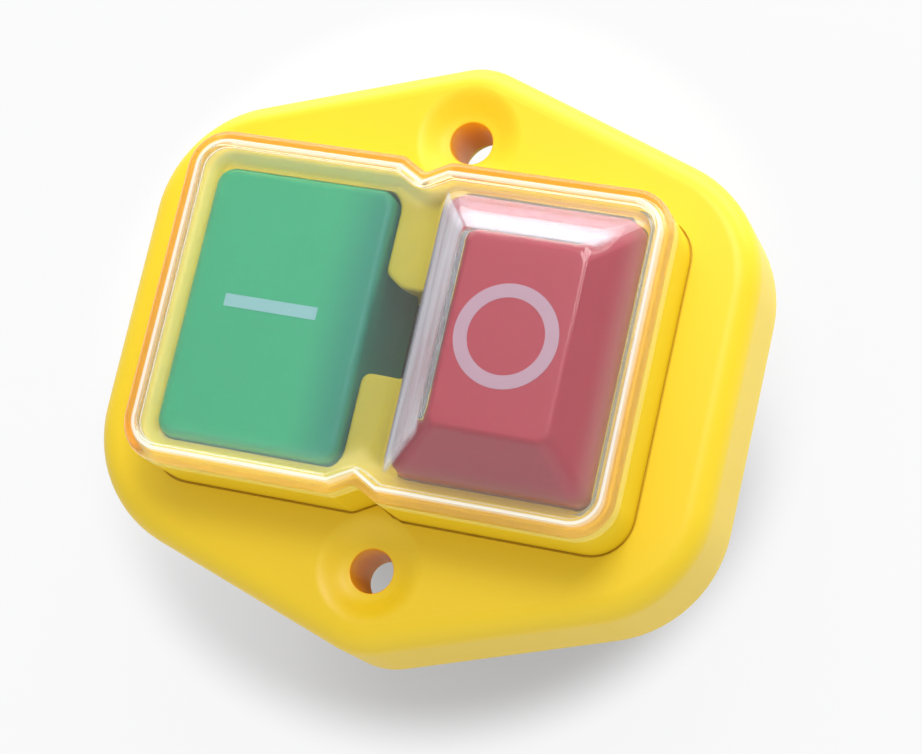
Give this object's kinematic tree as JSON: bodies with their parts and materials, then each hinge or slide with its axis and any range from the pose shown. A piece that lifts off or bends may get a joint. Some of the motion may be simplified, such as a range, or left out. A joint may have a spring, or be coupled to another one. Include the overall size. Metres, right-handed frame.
{
  "type": "electromagnetic push button switch",
  "caption": "Panel-mounted no-volt-release switch with a start and a stop push button under a clear soft cover, on a flanged front with a rear contact housing and blade terminals.",
  "frame": {"origin": "on the mounting plane (back rim of the flange), midway between the two panel screw holes", "axes": "+Z out of the panel towards the user, +X from the start button to the stop button, +Y towards the upper panel screw"},
  "size_m": [0.0806, 0.0766, 0.0749],
  "materials": {
    "yellow_plastic": "semi-gloss moulded",
    "clear_plastic": "clear soft glossy",
    "green_plastic": "fine matt",
    "red_plastic": "fine matt",
    "black_plastic": "fine matt",
    "grey_nylon": "moulded",
    "natural_nylon": "moulded",
    "bobbin_plastic": "moulded",
    "magnet_steel": "laminated, oiled",
    "zinc_steel": "zinc plated",
    "spring_steel": "drawn wire",
    "copper_winding": "enamelled copper wire",
    "contact_brass": "stamped",
    "tinned_brass": "tin plated, stamped",
    "seal_rubber": "soft"
  },
  "bodies": {
    "housing": {"front_flange": "yellow_plastic", "clear_cover": "clear_plastic", "rear_housing": "black_plastic", "guide_frame": "grey_nylon", "magnet_core": "magnet_steel", "coil_bobbin": "bobbin_plastic", "coil_winding": "copper_winding", "line_terminal_1": "tinned_brass", "load_terminal_1": "tinned_brass", "line_terminal_2": "tinned_brass", "load_terminal_2": "tinned_brass", "stop_terminal_1": "tinned_brass", "stop_terminal_2": "tinned_brass", "housing_screws": "zinc_steel", "frame_screws": "zinc_steel", "panel_seal": "seal_rubber", "start_return_spring": "spring_steel", "stop_return_spring": "spring_steel"},
    "start": {"start_button": "green_plastic", "contact_carrier": "natural_nylon", "armature": "magnet_steel", "contact_spring_1": "spring_steel", "contact_spring_2": "spring_steel"},
    "contacts": {"contact_bridge_1": "contact_brass", "contact_bridge_2": "contact_brass"},
    "stop": {"stop_button": "red_plastic", "stop_plunger": "natural_nylon", "stop_bridge": "contact_brass", "stop_contact_spring": "spring_steel"}
  },
  "joints": [
    {"name": "start_press", "type": "slide", "parent": "housing", "child": "start", "axis": [0, 0, -1], "range_m": [0, 0.004], "stiffness_N_per_m": 400, "springref_m": -0.004, "deforming": ["start_return_spring"]},
    {"name": "contact_overtravel", "type": "slide", "parent": "start", "child": "contacts", "axis": [0, 0, 1], "range_m": [0, 0.001], "deforming": ["contact_spring_1", "contact_spring_2"]},
    {"name": "stop_press", "type": "slide", "parent": "housing", "child": "stop", "axis": [0, 0, -1], "range_m": [0, 0.0035], "stiffness_N_per_m": 400, "springref_m": -0.004, "deforming": ["stop_return_spring"]}
  ],
  "couplings": [
    {"joint": "contact_overtravel", "follows": "start_press", "ratio": 0.25}
  ]
}
